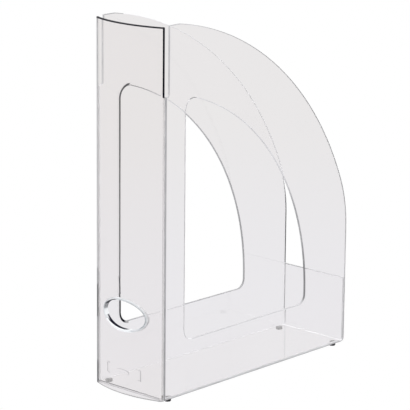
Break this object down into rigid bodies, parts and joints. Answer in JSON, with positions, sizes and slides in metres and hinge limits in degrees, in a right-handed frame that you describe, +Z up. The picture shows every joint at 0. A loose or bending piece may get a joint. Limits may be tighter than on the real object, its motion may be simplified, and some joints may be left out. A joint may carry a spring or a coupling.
{
  "type": "magazine file holder",
  "caption": "Clear upright magazine file: bowed spine with a finger hole, two side walls with arched windows, floor, low rear lip and stud feet.",
  "frame": {"origin": "under the middle of the file, on the surface that the four feet stand on", "axes": "+Z up, -Y towards the bowed spine, +Y towards the open rear, +X towards the right side wall seen from the spine"},
  "size_m": [0.076, 0.2434, 0.3133],
  "materials": {
    "clear_styrene": "clear crystal polystyrene, polished",
    "ring_styrene": "clear crystal polystyrene, thicker section, faint blue edge",
    "foot_rubber": "matte soft stud"
  },
  "bodies": {
    "root": {"spine": "clear_styrene", "finger_ring": "ring_styrene", "side_wall_right": "clear_styrene", "side_wall_left": "clear_styrene", "floor_plate": "clear_styrene", "rear_lip": "clear_styrene", "foot_front_left": "foot_rubber", "foot_front_right": "foot_rubber", "foot_rear_left": "foot_rubber", "foot_rear_right": "foot_rubber"}
  },
  "joints": []
}
